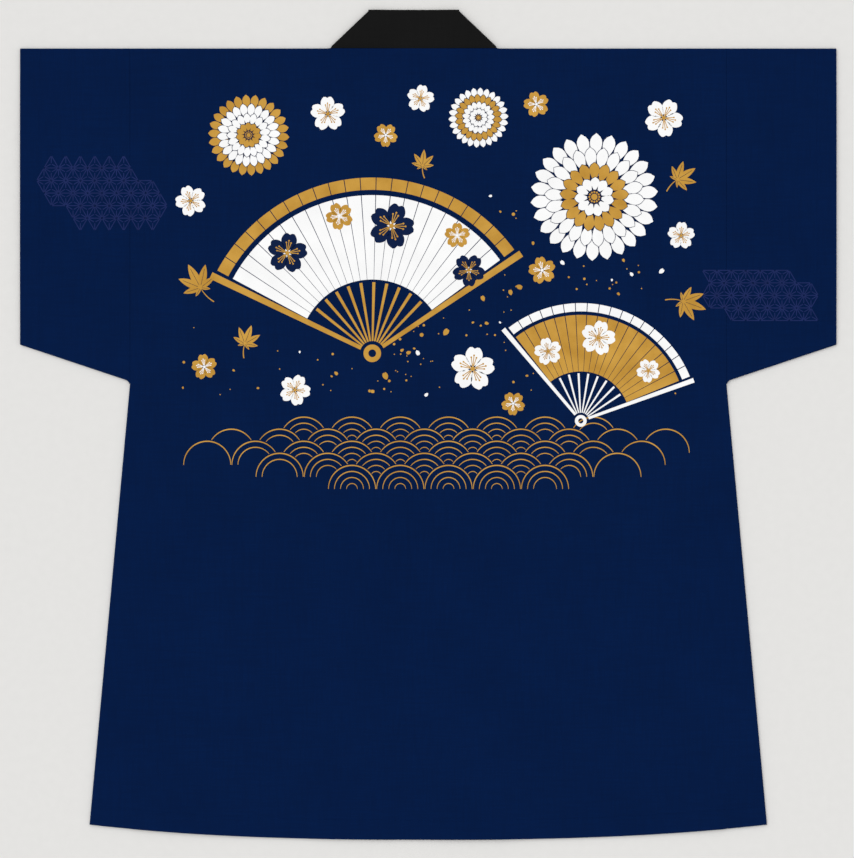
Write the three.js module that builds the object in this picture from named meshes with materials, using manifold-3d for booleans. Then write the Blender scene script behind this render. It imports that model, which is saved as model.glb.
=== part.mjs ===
// Happi coat laid flat on its front, with its back uppermost: a back panel, two fronts, two
// sleeves that are flattened tubes, and one folded collar band. Each piece is a wall of cloth,
// and the pieces lie on each other as they are sewn.
//
// Millimetres, +Z up. The coat rests on the plane z = 0, its shoulder line runs along X, the
// collar points to +Y, and the origin is at the bottom centre of the whole box.

import * as THREE from 'three';
import { mergeVertices } from 'three/addons/utils/BufferGeometryUtils.js';
import Module from 'manifold-3d';

const wasm = await Module();
wasm.setup();

// Driving sizes of the cut.
const COAT_LENGTH = 820; // from the shoulder line to the lowest point of the hem
const SLEEVE_SPAN = 846; // from cuff to cuff
const CHEST_WIDTH = 618; // between the armhole seams
const HEM_WIDTH = 702;
const HEM_RISE = 15.5; // the hem is this much higher at the side seams than in the middle
const HEM_POWER = 2.55; // how late the hem's curve turns up
const ARMHOLE_DEPTH = 345;
const CUFF_DEPTH = 307;
const UNDERARM_RADIUS = 5;
const NECK_WIDTH = 173.5;
const NECK_SHIFT = -15; // the neck is sewn in a little to the left of the coat's centre line
const BAND_WIDTH = 42; // the folded collar band
const COLLAR_RISE = 40; // how far the band stands above the shoulder line at the back neck

// Thicknesses and gaps.
const CLOTH = 1.1;
const LAYER_GAP = 0.4; // between two walls that lie on each other
const SEAM_GAP = 0.3; // between two pieces that meet edge to edge
const BAND_THICKNESS = 2.4; // the band is folded lengthwise, so it is two walls

// Levels and lines that follow from those sizes.
const SHOULDER_Y = (COAT_LENGTH - COLLAR_RISE) / 2;
const HEM_Y = SHOULDER_Y - COAT_LENGTH;
const ARMHOLE_FOOT_Y = SHOULDER_Y - ARMHOLE_DEPTH - UNDERARM_RADIUS;
const CHEST_HALF = CHEST_WIDTH / 2;
const HEM_HALF = HEM_WIDTH / 2;
const UPPER_LAYER = CLOTH + LAYER_GAP; // underside of whatever lies on one wall
const OVER_BAND = BAND_THICKNESS + SEAM_GAP; // underside of the back where it crosses the band
const BAND_CENTRE = (NECK_WIDTH - BAND_WIDTH) / 2; // from the neck's centre to a front band's own

// How the back panel rises over a front band: the distance across from the band's centre line,
// and the share of the full rise that the panel has there.
const RIDGE = [
  { across: -52, share: 0 },
  { across: -36, share: 0.3 },
  { across: -BAND_WIDTH / 2, share: 1 },
  { across: BAND_WIDTH / 2, share: 1 },
  { across: 36, share: 0.3 },
  { across: 52, share: 0 },
];

// Where a sleeve's sections stand, as the distance out from the armhole seam. The first ones
// follow the round corner under the arm.
const SLEEVE_LENGTH = SLEEVE_SPAN / 2 - CHEST_HALF;
const SLEEVE_STATIONS = [
  { out: SEAM_GAP },
  { out: UNDERARM_RADIUS * 0.25 },
  { out: UNDERARM_RADIUS * 0.55 },
  { out: UNDERARM_RADIUS },
  { out: SLEEVE_LENGTH * 0.25 },
  { out: SLEEVE_LENGTH * 0.5 },
  { out: SLEEVE_LENGTH * 0.75 },
  { out: SLEEVE_LENGTH },
];

const SIDE_COLUMNS = 7; // columns of the back panel between a side seam and the nearest ridge
const SKIRT_ROWS = 9; // rows from the hem to the foot of the armhole
const YOKE_ROWS = 6; // rows from there to the shoulder line
const HEM_STEPS = 9; // straight steps in a front's curved hem
const FOLD_STEPS = 6; // straight steps in a sleeve's half-round fold

const NAVY = new THREE.MeshStandardMaterial({ color: 0x081b42, roughness: 0.9, metalness: 0 });
const BLACK = new THREE.MeshStandardMaterial({ color: 0x191919, roughness: 0.85, metalness: 0 });

const lerp = THREE.MathUtils.lerp;

// The hem's height at a distance x from the centre line.
function hemLevel(x) {
  return HEM_Y + HEM_RISE * (Math.abs(x) / HEM_HALF) ** HEM_POWER;
}

// The two long edges of a front band: the free one nearer the neck's centre, and the sewn one.
function bandEdges(side) {
  const centre = NECK_SHIFT + side * BAND_CENTRE;
  return {
    free: centre - (side * BAND_WIDTH) / 2,
    sewn: centre + (side * BAND_WIDTH) / 2,
  };
}

function addQuad(triangles, a, b, c, d) {
  triangles.push(a, b, c, a, c, d);
}

function geometryOf(triangles) {
  const geometry = new THREE.BufferGeometry().setFromPoints(triangles);
  geometry.computeVertexNormals();
  return geometry;
}

// A closed wall of cloth over a net of underside points. Rows run towards +Y, and the points of
// a row run towards +X.
function wallOver(rows) {
  const triangles = [];
  const above = rows.map((row) => row.map((p) => new THREE.Vector3(p.x, p.y, p.z + CLOTH)));
  const lastRow = rows.length - 1;
  const lastColumn = rows[0].length - 1;
  for (let r = 0; r < lastRow; r += 1) {
    for (let c = 0; c < lastColumn; c += 1) {
      addQuad(triangles, above[r][c], above[r][c + 1], above[r + 1][c + 1], above[r + 1][c]);
      addQuad(triangles, rows[r + 1][c], rows[r + 1][c + 1], rows[r][c + 1], rows[r][c]);
    }
    addQuad(triangles, rows[r + 1][0], rows[r][0], above[r][0], above[r + 1][0]);
    const [low, high] = [rows[r], rows[r + 1]].map((row) => row[lastColumn]);
    addQuad(triangles, low, high, above[r + 1][lastColumn], above[r][lastColumn]);
  }
  for (let c = 0; c < lastColumn; c += 1) {
    addQuad(triangles, rows[0][c], rows[0][c + 1], above[0][c + 1], above[0][c]);
    const [left, right] = [rows[lastRow][c], rows[lastRow][c + 1]];
    addQuad(triangles, right, left, above[lastRow][c], above[lastRow][c + 1]);
  }
  return geometryOf(triangles);
}

// The back panel's columns at one row: across the ridges they keep their place, and towards the
// side seams they spread evenly to the row's half width.
function backColumns(halfWidth) {
  const ridges = [-1, 1].flatMap((side) =>
    RIDGE.map(({ across, share }) => ({
      x: NECK_SHIFT + side * BAND_CENTRE + across,
      z: lerp(UPPER_LAYER, OVER_BAND, share),
    })),
  );
  const sideColumns = (seamX, ridgeX) =>
    Array.from({ length: SIDE_COLUMNS }, (_, i) => ({
      x: lerp(seamX, ridgeX, i / SIDE_COLUMNS),
      z: UPPER_LAYER,
    }));
  const left = sideColumns(-halfWidth, ridges[0].x);
  const right = sideColumns(halfWidth, ridges[ridges.length - 1].x).reverse();
  return [...left, ...ridges, ...right];
}

function backPanel() {
  const rows = [];
  for (let i = 0; i < SKIRT_ROWS; i += 1) {
    const up = i / SKIRT_ROWS;
    const columns = backColumns(lerp(HEM_HALF, CHEST_HALF, up));
    const level = ({ x }) => lerp(hemLevel(x), ARMHOLE_FOOT_Y, up);
    rows.push(columns.map((column) => new THREE.Vector3(column.x, level(column), column.z)));
  }
  for (let i = 0; i <= YOKE_ROWS; i += 1) {
    const y = lerp(ARMHOLE_FOOT_Y, SHOULDER_Y, i / YOKE_ROWS);
    rows.push(backColumns(CHEST_HALF).map(({ x, z }) => new THREE.Vector3(x, y, z)));
  }
  return wallOver(rows);
}

function flatPlate(outline, thickness, level) {
  const shape = new THREE.Shape(outline.map(([x, y]) => new THREE.Vector2(x, y)));
  const options = { depth: thickness, bevelEnabled: false };
  return new THREE.ExtrudeGeometry(shape, options).translate(0, 0, level);
}

// A front lies flat under the back, from its side seam to the edge that the band is sewn to.
function frontPanel(side) {
  const bandSeam = bandEdges(side).sewn + side * SEAM_GAP;
  const outline = [
    [bandSeam, SHOULDER_Y],
    [side * CHEST_HALF, SHOULDER_Y],
    [side * CHEST_HALF, ARMHOLE_FOOT_Y],
  ];
  for (let i = 0; i <= HEM_STEPS; i += 1) {
    const x = lerp(side * HEM_HALF, bandSeam, i / HEM_STEPS);
    outline.push([x, hemLevel(x)]);
  }
  return flatPlate(outline, CLOTH, 0);
}

// The sleeve's lower edge: a slant from the cuff to the armhole, rounded down into the side seam.
function sleeveUnderside(out) {
  const slant = lerp(ARMHOLE_DEPTH, CUFF_DEPTH, out / SLEEVE_LENGTH);
  const nearSeam = Math.max(0, 1 - out / UNDERARM_RADIUS);
  const corner = UNDERARM_RADIUS * (1 - Math.sqrt(1 - nearSeam ** 2));
  return SHOULDER_Y - slant - corner;
}

// A flattened loop around the sleeve at one place along it, with half-round folds at its ends.
// An inset makes the loop of the inner face.
function sleeveLoop(x, underside, inset) {
  const radius = CLOTH + LAYER_GAP / 2 - inset;
  const middle = CLOTH + LAYER_GAP / 2;
  const folds = [
    { centre: SHOULDER_Y - inset - radius, start: -Math.PI / 2 },
    { centre: underside + inset + radius, start: Math.PI / 2 },
  ];
  return folds.flatMap(({ centre, start }) =>
    Array.from({ length: FOLD_STEPS + 1 }, (_, i) => {
      const turn = start + (Math.PI * i) / FOLD_STEPS;
      const y = centre + radius * Math.cos(turn);
      return new THREE.Vector3(x, y, middle + radius * Math.sin(turn));
    }),
  );
}

// A sleeve is a flattened tube, folded at the shoulder line and open at the armhole and cuff.
function sleeve(side) {
  const stations = side > 0 ? SLEEVE_STATIONS : [...SLEEVE_STATIONS].reverse();
  const loopsAt = (inset) =>
    stations.map(({ out }) => sleeveLoop(side * (CHEST_HALF + out), sleeveUnderside(out), inset));
  const outer = loopsAt(0);
  const inner = loopsAt(CLOTH);
  const triangles = [];
  const count = outer[0].length;
  const last = stations.length - 1;
  for (let i = 0; i < count; i += 1) {
    const next = (i + 1) % count;
    for (let s = 0; s < last; s += 1) {
      addQuad(triangles, outer[s][i], outer[s][next], outer[s + 1][next], outer[s + 1][i]);
      addQuad(triangles, inner[s + 1][i], inner[s + 1][next], inner[s][next], inner[s][i]);
    }
    addQuad(triangles, inner[0][i], inner[0][next], outer[0][next], outer[0][i]);
    addQuad(triangles, outer[last][i], outer[last][next], inner[last][next], inner[last][i]);
  }
  return geometryOf(triangles);
}

function solidOf(geometry) {
  geometry.deleteAttribute('normal');
  geometry.deleteAttribute('uv');
  const merged = mergeVertices(geometry);
  return new wasm.Manifold(
    new wasm.Mesh({
      numProp: 3,
      vertProperties: new Float32Array(merged.attributes.position.array),
      triVerts: new Uint32Array(merged.index.array),
    }),
  );
}

function geometryFromSolid(solid) {
  const mesh = solid.getMesh();
  const geometry = new THREE.BufferGeometry();
  geometry.setAttribute('position', new THREE.BufferAttribute(mesh.vertProperties, mesh.numProp));
  geometry.setIndex(new THREE.BufferAttribute(mesh.triVerts, 1));
  geometry.computeVertexNormals();
  return geometry;
}

// A front band lies flat from the hem up to the slanting fold above the shoulder line.
function frontBand(side) {
  const { free, sewn } = bandEdges(side);
  const outline = [
    [free, hemLevel(free)],
    [sewn, hemLevel(sewn)],
    [sewn, SHOULDER_Y],
    [free, SHOULDER_Y + COLLAR_RISE],
  ];
  return flatPlate(outline, BAND_THICKNESS, 0);
}

// At the back neck the band turns over its slanting folds, level with the back panel.
function neckBand() {
  const [left, right] = [bandEdges(-1), bandEdges(1)];
  const foldRun = (BAND_WIDTH * SEAM_GAP) / COLLAR_RISE;
  const outline = [
    [left.sewn + foldRun, SHOULDER_Y + SEAM_GAP],
    [right.sewn - foldRun, SHOULDER_Y + SEAM_GAP],
    [right.free, SHOULDER_Y + COLLAR_RISE],
    [left.free, SHOULDER_Y + COLLAR_RISE],
  ];
  return flatPlate(outline, BAND_THICKNESS, UPPER_LAYER);
}

function collar() {
  const band = solidOf(neckBand()).add(solidOf(frontBand(-1))).add(solidOf(frontBand(1)));
  return geometryFromSolid(band);
}

function piece(name, geometry, material) {
  const mesh = new THREE.Mesh(geometry, material);
  mesh.name = name;
  return mesh;
}

const coat = new THREE.Group();
coat.add(piece('back', backPanel(), NAVY));
for (const { name, side } of [{ name: 'left', side: -1 }, { name: 'right', side: 1 }]) {
  coat.add(piece(`front_${name}`, frontPanel(side), NAVY));
  coat.add(piece(`sleeve_${name}`, sleeve(side), NAVY));
}
coat.add(piece('collar', collar(), BLACK));

export default coat;
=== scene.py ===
"""Happi coat laid flat on its front, back uppermost: its cloth, stitches, print, stage and camera.

Sizes in this script are millimetres in the frame of the CAD model, +X to the right, +Y to the
collar and +Z up; meshes are written in metres. A grid is an array of points with the rows running
to +Y and the columns to +X, unless its function says otherwise.
"""

import math

import bpy
import numpy as np
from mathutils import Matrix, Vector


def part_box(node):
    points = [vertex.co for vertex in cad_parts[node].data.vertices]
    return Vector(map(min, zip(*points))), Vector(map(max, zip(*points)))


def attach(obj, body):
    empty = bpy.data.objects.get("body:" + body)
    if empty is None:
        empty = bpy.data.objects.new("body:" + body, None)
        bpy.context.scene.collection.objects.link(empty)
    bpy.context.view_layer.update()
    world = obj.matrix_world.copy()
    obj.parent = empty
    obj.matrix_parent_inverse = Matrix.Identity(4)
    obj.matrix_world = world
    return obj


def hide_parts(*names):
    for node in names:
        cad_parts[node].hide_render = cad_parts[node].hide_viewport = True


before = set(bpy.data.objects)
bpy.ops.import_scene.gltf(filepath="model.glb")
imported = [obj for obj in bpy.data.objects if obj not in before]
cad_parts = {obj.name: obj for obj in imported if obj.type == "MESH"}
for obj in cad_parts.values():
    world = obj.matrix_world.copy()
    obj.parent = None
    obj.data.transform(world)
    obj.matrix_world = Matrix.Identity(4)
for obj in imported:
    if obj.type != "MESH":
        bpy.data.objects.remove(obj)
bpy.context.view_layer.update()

MM = 0.001


def node_box(node):
    """A CAD node's lowest and highest corners, in millimetres."""
    low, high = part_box(node)
    return np.array(low) / MM, np.array(high) / MM


BACK_LOW, BACK_HIGH = node_box("back")
SLEEVE_LOW, SLEEVE_HIGH = node_box("sleeve_right")
COLLAR_LOW, COLLAR_HIGH = node_box("collar")

# Outline, from the frame.
SHOULDER_Y = BACK_HIGH[1]
HEM_Y = BACK_LOW[1]
HEM_HALF = BACK_HIGH[0]
SPAN_HALF = SLEEVE_HIGH[0]
ARMHOLE_FOOT_Y = SLEEVE_LOW[1]
NECK_X = (COLLAR_LOW[0] + COLLAR_HIGH[0]) / 2
NECK_HALF = (COLLAR_HIGH[0] - COLLAR_LOW[0]) / 2
COLLAR_TOP_Y = COLLAR_HIGH[1]
UPPER_TOP = SLEEVE_HIGH[2]

# Outline, where the frame's boxes don't say it.
SEAM_GAP = 0.3
CHEST_HALF = SLEEVE_LOW[0] - SEAM_GAP
HEM_RISE = 15.5
HEM_POWER = 2.55
ARMHOLE_DEPTH = 345.0
CUFF_DEPTH = 307.0
UNDERARM_RADIUS = 5.0
BAND_WIDTH = 42.0
SIDE_SLANT = 0.09  # how far in a side leans for each millimetre up from the hem

# Layers: thickness of the cloth, and heights of the layers' faces above the ground.
CLOTH = 1.05
FRONT_TOP = 1.05
UPPER_UNDER = UPPER_TOP - CLOTH
MEETING = UPPER_TOP / 2  # where the upper and lower layers meet at a turned edge
BAND_FOLD = 1.95
OVER_BAND = 2.35
RIDGE_REACH = 34.0  # how far the back slopes down beside a front band
NECK_SAG = 0.75  # the back-neck run, where it sinks between the slanting folds
SAG_HALF = 12.0
SAG_REACH = 30.0
LAYER_CLEARANCE = 0.05

# Edges: a rim reaches EDGE_ROUND out of its panel's grid.
EDGE_ROUND = 1.25
SLANT_ALLOWANCE = 1.45  # shares of EDGE_ROUND left free at a band's slanting ends
NECK_RIM_SHARE = 0.4
BEVEL = 0.25
BEVEL_MIDDLE = 0.07
TURN = 1.25  # radians that a turned edge bends through

# Meshing.
RIM_STEPS = 7
FOLD_STEPS = 11
CELL = 5.0
BAND_CELL = 3.0
NECK_COLUMNS = 61
NEAR_ENDS = (0.5, 1.4, 3.0)
NEAR_LINES = (-2.2, -1.2, -0.6, 0.0, 0.6, 1.2, 2.2)
LINE_MARGIN = 2.6

# Hems, lines of stitches, and the pitch of the threads.
HEM_ALLOWANCE = 20.0
HEM_FOLD = 0.25
HEM_STEP = 1.2
TOPSTITCH = 2.0
STITCH_DIP = 0.14
DIP_REACH = 0.9
UNDER_DIP = 0.2
CUFF_DIP = 0.1
CLOTH_THREAD = 0.62
COLLAR_THREAD = 0.5

# Framing: the length that the picture's height takes in, and the point under the camera.
SEEN_LENGTH = 888.9
VIEW_CENTRE = (-1.3, -4.4)
LENS = 100.0
SENSOR = 36.0

# Light and ground.
WORLD_STRENGTH = 0.82
KEY_ENERGY = 0.82
KEY_SPREAD = 50.0
KEY_TILT = (-28.0, -32.0)
GROUND_REACH = 20000.0
GROUND_Z = -0.2


def smooth(value):
    """0 below 0, 1 above 1, and a soft step between."""
    t = np.clip(value, 0.0, 1.0)
    return t * t * (3.0 - 2.0 * t)


def lerp(a, b, t):
    """From a to b, by a share t."""
    return a + (b - a) * t


def table(columns, *rows):
    """Rows as dictionaries, under one line of column names."""
    return [dict(zip(columns.split(), row)) for row in rows]


# -------------------- the lie of the upper layer

# Length and direction (degrees) of each slow wave in the laid cloth, its phase and height.
WAVES = table(
    "length heading phase height",
    (610.0, 24.0, 0.4, 0.1),
    (370.0, 101.0, 2.1, 0.08),
    (233.0, 63.0, 4.0, 0.05),
    (158.0, 148.0, 1.3, 0.03),
)
# How high the hem and the cuffs stand off what they lie on, and how far in that reaches.
HEM_LIFT = {"height": 0.9, "reach": 70.0, "ripple": 47.0}
CUFF_LIFT = {"height": 0.8, "reach": 60.0, "foot": 300.0, "fade": 90.0}
CALM_AT_FOLD = 30.0
FOLD_REACH = 8.0
UNDERARM_SHARES = (0.3, 0.5, 0.75)


def slow_waves(x, y):
    """How far the slow waves raise or lower the cloth."""
    total = np.zeros_like(np.asarray(x, dtype=float))
    for wave in WAVES:
        heading = math.radians(wave["heading"])
        along = x * math.cos(heading) + y * math.sin(heading)
        total += wave["height"] * np.sin(2 * math.pi * along / wave["length"] + wave["phase"])
    return total


def hem_level(x):
    """Y of the curved hem, which rises to both sides."""
    return HEM_Y + HEM_RISE * (np.abs(x) / HEM_HALF) ** HEM_POWER


def body_half(y):
    """Half the body's width: straight at the armholes, and flared from there to the hem."""
    corner_y = HEM_Y + HEM_RISE
    down = np.clip((ARMHOLE_FOOT_Y - y) / (ARMHOLE_FOOT_Y - corner_y), 0.0, 1.0)
    return lerp(CHEST_HALF, HEM_HALF, down)


def band_share(x):
    """1 over a front band, 0 well clear of both, and soft between."""
    from_band = np.abs(np.abs(x - NECK_X) - (NECK_HALF - BAND_WIDTH / 2))
    return smooth(1.0 - (from_band - BAND_WIDTH / 2 - 1.0) / RIDGE_REACH)


def upper_under(x, y):
    """Height of the underside of the upper layer: back panel and upper halves of the sleeves."""
    above_hem = smooth(1.0 - (y - hem_level(x)) / HEM_LIFT["reach"])
    hem_lift = HEM_LIFT["height"] * above_hem * (0.5 + 0.5 * np.sin(x / HEM_LIFT["ripple"] + 1.0))
    below_fold = SHOULDER_Y - y
    cuff_lift = CUFF_LIFT["height"] * smooth(1.0 - (SPAN_HALF - np.abs(x)) / CUFF_LIFT["reach"])
    cuff_lift = cuff_lift * smooth(below_fold / CUFF_LIFT["fade"])
    cuff_lift = cuff_lift * smooth((CUFF_LIFT["foot"] - below_fold) / CUFF_LIFT["fade"])
    lie = slow_waves(x, y) * smooth(below_fold / CALM_AT_FOLD)
    ridge = band_share(x) * (OVER_BAND - UPPER_UNDER)
    return UPPER_UNDER + ridge + lie + np.where(np.abs(x) > CHEST_HALF, cuff_lift, hem_lift)


def upper_top(x, y):
    """Height of the uppermost face, on which the print lies."""
    return upper_under(x, y) + CLOTH


# -------------------- mesh building


def mesh_object(name, points, faces, material, smooth_shaded=True):
    """A new object in the scene, from points in millimetres."""
    mesh = bpy.data.meshes.new(name)
    mesh.from_pydata((np.asarray(points) * MM).tolist(), [], faces)
    mesh.materials.append(material)
    mesh.polygons.foreach_set("use_smooth", [smooth_shaded] * len(mesh.polygons))
    mesh.update()
    made = bpy.data.objects.new(name, mesh)
    bpy.context.scene.collection.objects.link(made)
    return made


def positions(start, stop, step=CELL, lines=()):
    """Places from start to stop about a step apart, closer at both ends and beside each line."""
    count = max(2, round((stop - start) / step))
    places = list(np.linspace(start, stop, count + 1))
    for near in NEAR_ENDS:
        places += [start + near, stop - near]
    for line in lines:
        places = [p for p in places if abs(p - line) > LINE_MARGIN]
        places += [line + off for off in NEAR_LINES]
    return np.unique(np.round([start, stop, *places], 4))


def groove(distance, depth=STITCH_DIP):
    """How far a line of stitches pulls the cloth in, at a distance from the line."""
    return depth * np.exp(-((distance / DIP_REACH) ** 2))


# Each rim gives, for the heights of the two faces at an edge, the outward offsets and heights of
# the points that close the edge, from the upper face to the lower one.


def free_rim(above, below):
    """A half round edge."""
    half = (above - below) / 2
    return [
        (EDGE_ROUND - half + half * math.cos(turn), (above + below) / 2 + half * math.sin(turn))
        for turn in np.linspace(math.pi / 2, -math.pi / 2, RIM_STEPS)
    ]


def butt_rim(above, below):
    """A square edge with both corners eased, for a seam where two edges stand side by side."""
    corner = ((BEVEL, 0.0), (BEVEL_MIDDLE, BEVEL_MIDDLE), (0.0, BEVEL))
    upper = [(EDGE_ROUND - inset, above - down) for inset, down in corner]
    lower = [(EDGE_ROUND - inset, below + up) for inset, up in reversed(corner)]
    return [*upper, (EDGE_ROUND, (above + below) / 2), *lower]


def turned_down_rim(above, below):
    """The upper layer turns down to the seam, where it meets the lower one."""
    turns = np.linspace(TURN, 0.0, RIM_STEPS - 2)
    bend = [(EDGE_ROUND * math.cos(t), MEETING + (above - MEETING) * math.sin(t)) for t in turns]
    return bend + [(EDGE_ROUND * 0.7, MEETING), (EDGE_ROUND * 0.3, MEETING)]


def turned_up_rim(above, below):
    """The lower layer turns up to the seam."""
    turns = np.linspace(0.0, TURN, RIM_STEPS - 2)
    bend = [(EDGE_ROUND * math.cos(t), MEETING - (MEETING - below) * math.sin(t)) for t in turns]
    return [(EDGE_ROUND * 0.3, MEETING), (EDGE_ROUND * 0.7, MEETING)] + bend


def boundary(rows, columns):
    """The outer points of a grid, anticlockwise from above: row, column and outward directions."""
    last_row, last_column = rows - 1, columns - 1
    loop = [(0, c) for c in range(columns)]
    loop += [(r, last_column) for r in range(1, rows)]
    loop += [(last_row, c) for c in range(last_column - 1, -1, -1)]
    loop += [(r, 0) for r in range(last_row - 1, 0, -1)]
    return [(r, c, (c == last_column) - (c == 0), (r == last_row) - (r == 0)) for r, c in loop]


def panel(name, x, y, above, below, rims, material):
    """A closed panel between two faces over one plan grid. rims gives the rim of each side."""
    rows, columns = x.shape
    upper = np.stack([x, y, above], axis=-1).reshape(-1, 3)
    lower = np.stack([x, y, below], axis=-1).reshape(-1, 3)
    edge = boundary(rows, columns)
    rim_points = []
    for r, c, out_x, out_y in edge:
        sides = []
        if out_x:
            side = rims["right" if out_x > 0 else "left"]
            sides.append(side(x[r, c], y[r, c])(above[r, c], below[r, c]))
        if out_y:
            side = rims["top" if out_y > 0 else "bottom"]
            sides.append(side(x[r, c], y[r, c])(above[r, c], below[r, c]))
        for step in range(RIM_STEPS):
            height = sum(profile[step][1] for profile in sides) / len(sides)
            along_x = out_x * sides[0][step][0]
            along_y = out_y * sides[-1][step][0]
            rim_points.append((x[r, c] + along_x, y[r, c] + along_y, height))
    points = np.concatenate([upper, lower, np.array(rim_points)])
    return mesh_object(name, points, panel_faces(rows, columns, edge), material)


def panel_faces(rows, columns, edge):
    """The faces of a panel: both its grids, and the strip that each edge point's rim spans."""
    count = rows * columns
    faces = []
    for r in range(rows - 1):
        for c in range(columns - 1):
            a = r * columns + c
            quad = (a, a + 1, a + columns + 1, a + columns)
            faces.append(quad)
            faces.append(tuple(count + i for i in reversed(quad)))
    for i, (r, c, _, _) in enumerate(edge):
        j = (i + 1) % len(edge)
        next_r, next_c = edge[j][:2]
        first, second = r * columns + c, next_r * columns + next_c
        chain_a = [first, *(2 * count + i * RIM_STEPS + s for s in range(RIM_STEPS)), count + first]
        chain_b = [second, *(2 * count + j * RIM_STEPS + s for s in range(RIM_STEPS)), count + second]
        for s in range(len(chain_a) - 1):
            faces.append((chain_a[s], chain_a[s + 1], chain_b[s + 1], chain_b[s]))
    return faces


def always(rim):
    """The same rim along a whole side."""
    return lambda x, y: rim


# -------------------- body panels


def body_rows():
    """Rows of a body panel, as shares of the way from hem to shoulder: one is at the armhole's foot."""
    side_low = HEM_Y + HEM_RISE
    length, foot = SHOULDER_Y - side_low, ARMHOLE_FOOT_Y - side_low
    skirt = positions(0.0, foot, lines=(HEM_ALLOWANCE,))
    yoke = positions(foot, length)
    return np.unique(np.concatenate([skirt, yoke])) / length


def row_half(row):
    """Half the body's width at a row."""
    return body_half(lerp(HEM_Y + HEM_RISE, SHOULDER_Y, row))


def row_y(row, hem_x):
    """Y of a row, in the column that meets the hem at hem_x."""
    return lerp(hem_level(hem_x) + EDGE_ROUND, SHOULDER_Y - EDGE_ROUND, row)


def make_back(cloth):
    """The back panel, with its hem turned up underneath."""
    row, share = np.meshgrid(body_rows(), positions(-HEM_HALF, HEM_HALF) / HEM_HALF, indexing="ij")
    x = share * (row_half(row) - EDGE_ROUND)
    y = row_y(row, share * HEM_HALF)
    past_stitches = y - hem_level(x) - HEM_ALLOWANCE
    under = upper_under(x, y)
    above = under + CLOTH - groove(past_stitches)
    turned_hem = HEM_FOLD * smooth(-past_stitches / HEM_STEP)
    below = np.maximum(under - turned_hem, FRONT_TOP + LAYER_CLEARANCE)

    def top_rim(x_here, y_here):
        return butt_rim if abs(x_here - NECK_X) < NECK_HALF else turned_down_rim

    def side_rim(x_here, y_here):
        return butt_rim if y_here > ARMHOLE_FOOT_Y else turned_down_rim

    rims = {"left": side_rim, "right": side_rim, "top": top_rim, "bottom": always(free_rim)}
    return panel("back_cloth", x, y, above, below, rims, cloth)


def make_front(name, side, cloth):
    """The left (side -1) or right (side 1) front, from its band's seam to the side seam."""
    seam_x = NECK_X + side * (NECK_HALF + SEAM_GAP / 2)
    width = HEM_HALF - side * seam_x
    columns = np.sort(side * positions(EDGE_ROUND, width - EDGE_ROUND) / width)
    row, share = np.meshgrid(body_rows(), columns, indexing="ij")
    x = seam_x + share * (row_half(row) - side * seam_x)
    y = row_y(row, seam_x + share * width)
    below = groove(y - hem_level(x) - HEM_ALLOWANCE, depth=UNDER_DIP)
    above = np.full_like(x, FRONT_TOP)

    def side_rim(x_here, y_here):
        return butt_rim if y_here > ARMHOLE_FOOT_Y else turned_up_rim

    rims = {
        "left": side_rim if side < 0 else always(butt_rim),
        "right": side_rim if side > 0 else always(butt_rim),
        "top": always(turned_up_rim),
        "bottom": always(free_rim),
    }
    return panel(name, x, y, above, below, rims, cloth)


# -------------------- sleeves


def sleeve_underside(out):
    """Y of the sleeve's underarm edge, at a distance out from the body."""
    slant = lerp(ARMHOLE_DEPTH, CUFF_DEPTH, out / (SPAN_HALF - CHEST_HALF))
    near_seam = max(0.0, 1.0 - out / UNDERARM_RADIUS)
    return SHOULDER_Y - slant - UNDERARM_RADIUS * (1.0 - math.sqrt(1.0 - near_seam**2))


def sleeve_loop(x, underside, inset):
    """A loop round the flattened sleeve: along the floor, over the fold, back on top."""
    radius = MEETING - inset
    low, high = underside + MEETING, SHOULDER_Y - MEETING
    run = lerp(low, high, positions(0.0, ARMHOLE_DEPTH) / ARMHOLE_DEPTH)
    fold = np.linspace(-math.pi / 2, math.pi / 2, FOLD_STEPS)[1:-1]
    floor = np.stack([run, np.full_like(run, inset)], axis=-1)
    over = np.stack([high + radius * np.cos(fold), MEETING + radius * np.sin(fold)], axis=-1)
    surface = upper_under if inset else upper_top
    calm = smooth(np.minimum(run - low, high - run) / FOLD_REACH)
    height = lerp(UPPER_TOP - inset, surface(np.full_like(run, x), run), calm)
    back = np.stack([run, height], axis=-1)[::-1]
    under = np.stack([low - radius * np.cos(fold), MEETING - radius * np.sin(fold)], axis=-1)
    loop = np.concatenate([floor, over, back, under])
    return np.column_stack([np.full(len(loop), x), loop])


def sleeve_rim(outer, inner, way):
    """Rounds one end of a sleeve, from its outer loop to its inner one; way is the end's X direction."""
    centre, reach = (outer + inner) / 2, (outer - inner) / 2
    sideways = np.array([way * CLOTH / 2, 0.0, 0.0])
    turns = np.linspace(math.pi / 2, -math.pi / 2, RIM_STEPS + 2)[1:-1]
    return np.array([centre + reach * math.sin(t) + sideways * math.cos(t) for t in turns])


def ring_faces(rings, count):
    """Faces between loops of count points each, the last joined to the first."""
    faces = []
    for ring in range(rings):
        ahead = (ring + 1) % rings
        for i in range(count):
            j = (i + 1) % count
            faces.append((ring * count + i, ring * count + j, ahead * count + j, ahead * count + i))
    return faces


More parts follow.
